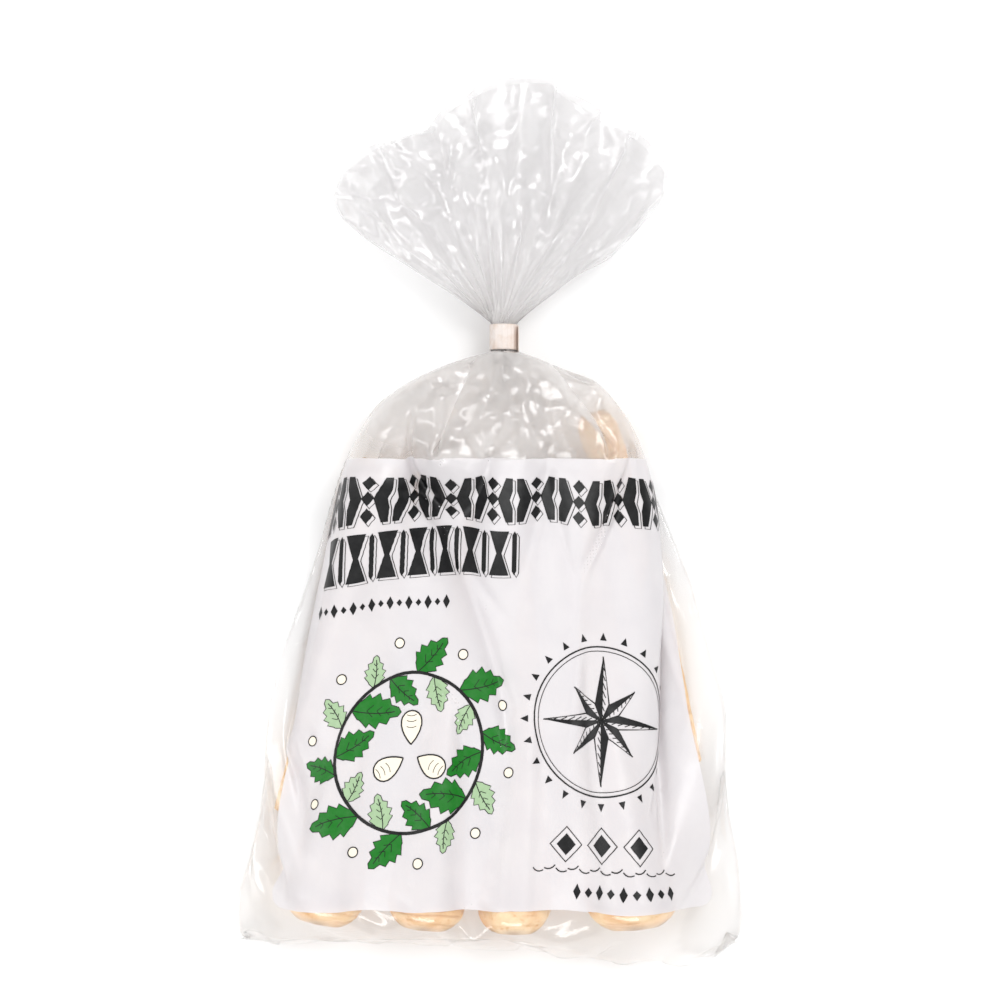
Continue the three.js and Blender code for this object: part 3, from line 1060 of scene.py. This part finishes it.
def wreath(art):
    """A ring of toothed leaves round three seeds."""
    centre, ring = complex(66, 141), 36.0
    art.lines += stroke([centre + ring * turned(a) for a in range(0, 360, 6)], 1.5, closed=True)
    for i in range(20):
        angle = i * 18 + (4 if i % 2 else 0)
        base = centre + ring * turned(angle)
        length = (21, 17, 24, 15, 19)[i % 5]
        tip = base + length * turned(angle + (38 if i % 2 else 150))
        shape = leaf(base, tip, length * 0.62)
        (art.sage if i % 5 in (1, 3) else art.green).append(shape)
        art.framed(shape, 0.35)
        art.lines += stroke(bend(base, mix(base, tip, 0.86), 0.05), 0.4)
        for t in (0.3, 0.5, 0.68):
            root = mix(base, tip, t)
            for sign in (-1, 1):
                vein = (tip - base) * turned(sign * 42) * 0.2 * (1.15 - t)
                art.lines += stroke([root, root + vein], 0.28)
    for angle in (-90, 30, 150):
        top = centre + 6 * turned(angle)
        shape = drop(top + 13 * turned(angle), top - 2 * turned(angle), 13)
        art.cream.append(shape)
        art.framed(shape, 0.7)
        for t in (0.25, 0.42, 0.6):
            line = top + 15 * (1 - t) * turned(angle)
            half = 2.4 * turned(angle + 90)
            art.lines += stroke(bend(line - half, line + half, 0.12, 5), 0.3)
    for i in range(10):
        spot = centre + 50 * turned(i * 36 + 11)
        art.cream.append(oval(spot, 4.6, 4.6))
        art.framed(oval(spot, 4.6, 4.6), 0.55)


def star(art):
    """An eight-pointed star whose points are half black and half hatched."""
    centre = complex(162, 126)
    for i in range(8):
        angle = i * 45
        reach = 30.0 if i % 2 == 0 else 21.5
        tip = centre + reach * turned(angle - 90)
        left = centre + 8.6 * turned(angle - 90 - 22.5)
        right = centre + 8.6 * turned(angle - 90 + 22.5)
        art.black.append([centre, left, tip])
        art.framed([centre, tip, right], 0.6)
        for t in (0.12, 0.24, 0.36, 0.48, 0.6, 0.72, 0.84):
            on_edge = mix(mix(centre, right, t), mix(right, tip, t), t)
            art.lines += stroke([mix(centre, tip, t), on_edge], 0.4)
    art.lines += stroke(oval(centre, 69, 69, 72), 0.7, closed=True)
    art.lines += stroke(oval(centre, 65, 65, 72), 0.35, closed=True)
    for i in range(24):
        out = turned(i * 15)
        base, half = centre + 37.5 * out, 1.6j * out
        art.black.append([base - half, base + 3.6 * out, base + half])
    for x in (-18, 0, 18):
        foot = centre + complex(x, 56)
        art.black.append(lozenge(foot, 9, 10))
        art.framed(lozenge(foot, 15, 16), 0.6)
    for i in range(13):
        start = centre + complex(-33 + i * 5.4, 67)
        art.lines += stroke(bend(start, start + complex(5, -1.5 if i % 2 else 1.0), 0.2, 4), 0.55)


def panel_shape():
    """The panel's outline, with its rounded corners and a point every few millimetres."""
    radius = 9.0
    right, bottom = PANEL_WIDTH, PANEL_HEIGHT
    corners = ((right - radius, radius, -90), (right - radius, bottom - radius, 0),
               (radius, bottom - radius, 90), (radius, radius, 180))
    outline = []
    for x, y, start in corners:
        arc = [complex(x, y) + radius * turned(start + a) for a in range(0, 91, 9)]
        if outline:
            outline += [mix(outline[-1], arc[0], i / 30) for i in range(1, 30)]
        outline += arc
    return outline + [mix(outline[-1], outline[0], i / 30) for i in range(1, 30)]


def add_prints(film):
    art = Print()
    for draw in (big_frieze, small_frieze, wreath, star):
        draw(art)
    lozenge_row(art, complex(20, 71), complex(4.4, 0.12), 15, ((3.4, 6.4), (2.6, 3.4)))
    lozenge_row(art, complex(150, 203), 5.6, 9, ((3.6, 7.2), (3.6, 4.6)))
    add_print("panel_white", film, [panel_shape()], 0.12, white_ink_material())
    colours = (
        ("print_green", art.green, 0.22, linear(14, 112, 26), 0.02),
        ("print_sage", art.sage, 0.20, linear(158, 186, 146), 0.05),
        ("print_cream", art.cream, 0.24, linear(243, 233, 214), 0.04),
        ("print_black", art.black, 0.26, linear(18, 18, 20), 0.01),
        ("print_lines", art.lines, 0.30, linear(22, 22, 22), 0.01),
    )
    for name, shapes, lift, colour, mottle in colours:
        add_print(name, film, shapes, lift, ink_material(name, colour, mottle))


# The scene

def add_camera():
    """A camera that looks straight down, from where the photo's scale fills its frame."""
    lens, sensor = 100, 36
    span = 1000 * MM_PER_PIXEL * MM
    data = bpy.data.cameras.new("camera")
    data.lens, data.sensor_width = lens, sensor
    camera = bpy.data.objects.new("camera", data)
    camera.location = (PHOTO_CENTRE[0] * MM, PHOTO_CENTRE[1] * MM, span * lens / sensor + 0.02)
    bpy.context.scene.collection.objects.link(camera)
    bpy.context.scene.camera = camera


def add_floor():
    mesh = bpy.data.meshes.new("floor")
    half = 3.0
    corners = [(-half, -half, 0), (half, -half, 0), (half, half, 0), (-half, half, 0)]
    mesh.from_pydata(corners, [], [(0, 1, 2, 3)])
    mesh.materials.append(floor_material())
    floor = link("floor", mesh)
    floor.location.z = -0.0002


LIT_POINT = Vector((0, 0, 0.02))


def add_light(name, place, size, power):
    data = bpy.data.lights.new(name, "AREA")
    data.shape = "RECTANGLE"
    data.size, data.size_y = size
    data.energy = power
    light = bpy.data.objects.new(name, data)
    light.location = place
    light.rotation_euler = (LIT_POINT - Vector(place)).to_track_quat("-Z", "Y").to_euler()
    bpy.context.scene.collection.objects.link(light)


HORIZON = 0.3  # how bright the sky is at the horizon, against 1 overhead


def add_world(strength):
    """A white sky that is darker towards the horizon, which gives slanted film its grey."""
    world = bpy.data.worlds.new("studio")
    world.use_nodes = True
    tree = world.node_tree
    place = tree.nodes.new("ShaderNodeTexCoord")
    parts = tree.nodes.new("ShaderNodeSeparateXYZ")
    sky = tree.nodes.new("ShaderNodeValToRGB")
    tree.links.new(place.outputs["Generated"], parts.inputs[0])
    tree.links.new(parts.outputs["Z"], sky.inputs[0])
    horizon, zenith = sky.color_ramp.elements
    horizon.position, horizon.color = 0.1, (HORIZON, HORIZON, HORIZON, 1)
    zenith.position, zenith.color = 0.75, (1, 1, 1, 1)
    background = tree.nodes["Background"]
    tree.links.new(sky.outputs[0], background.inputs["Color"])
    background.inputs["Strength"].default_value = strength
    bpy.context.scene.world = world


def allow_bounces():
    """Lets light through all the layers of the gathered film."""
    cycles = bpy.context.scene.cycles
    cycles.transparent_max_bounces = 128
    cycles.max_bounces = 32
    cycles.diffuse_bounces = 16
    cycles.glossy_bounces = 16
    cycles.transmission_bounces = 16


TAPE_WIDTH = 12.0
TAPE_ROWS = 14
TAPE_STEPS = 220


def add_tape():
    """One turn of tape, with its end lapped over the start and standing off as a short tail."""
    turns = np.linspace(0, 1, TAPE_STEPS)
    across = np.linspace(-0.5, 0.5, TAPE_ROWS)
    start = -0.62
    angle = start + turns * (2 * math.pi + 0.9)
    radius = NECK_RADIUS + 0.42 + 0.35 * smooth(0.83, 0.95, turns)
    radius = radius + 0.10 * np.sin(angle * 9) + 0.07 * np.sin(angle * 23 + 1)
    ring = np.stack([np.cos(angle) * radius, np.sin(angle) * radius], axis=-1)
    onward = (ring[-1] - ring[-2]) / np.hypot(*(ring[-1] - ring[-2]))
    tail = ring[-1] + onward * np.linspace(0.2, 4.6, 16)[:, None]
    tail += np.array([0.96, 0.6]) * np.linspace(0, 1, 16)[:, None] ** 2
    path = np.concatenate([ring, tail])
    points = np.empty((len(path), TAPE_ROWS, 3))
    points[:, :, 0] = NECK[0] + path[:, :1]
    points[:, :, 2] = NECK[1] + path[:, 1:]
    skew = 0.5 * np.sin(np.arange(len(path)) * 0.021)
    points[:, :, 1] = (NECK_FROM_Y + NECK_TO_Y) / 2 + across * TAPE_WIDTH + skew[:, None]
    tape = link("tape", grid_mesh("tape", points, False))
    solid = tape.modifiers.new("thickness", "SOLIDIFY")
    solid.thickness = 0.12 * MM
    solid.offset = 0
    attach(tape, "root")
    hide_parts("neck_tape")
    tape.data.materials.append(tape_material())


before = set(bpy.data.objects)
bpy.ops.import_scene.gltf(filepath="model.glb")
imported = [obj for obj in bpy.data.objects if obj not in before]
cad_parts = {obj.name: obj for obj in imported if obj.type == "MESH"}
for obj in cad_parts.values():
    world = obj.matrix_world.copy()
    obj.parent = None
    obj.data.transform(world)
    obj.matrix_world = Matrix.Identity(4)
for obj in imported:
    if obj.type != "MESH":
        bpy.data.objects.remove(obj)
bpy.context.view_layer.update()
bpy.context.scene.view_settings.view_transform = "Standard"
allow_bounces()
add_camera()
add_floor()
add_world(0.98)
add_light("key", (0.7, 0.8, 1.2), (0.9, 0.9), 11)
add_light("side", (-1.3, 0.1, 0.8), (0.3, 1.4), 4.5)
add_light("foot", (-0.2, -1.4, 0.8), (1.4, 0.4), 8)
points, level = settled_film()
film = add_film(points, level)
film.data.materials.append(film_material())
add_prints(Film(points, level))
add_tape()
skin = skin_material()
random = np.random.default_rng(SEED)
for name, root in ROOTS.items():
    add_root(name, root, random).data.materials.append(skin)
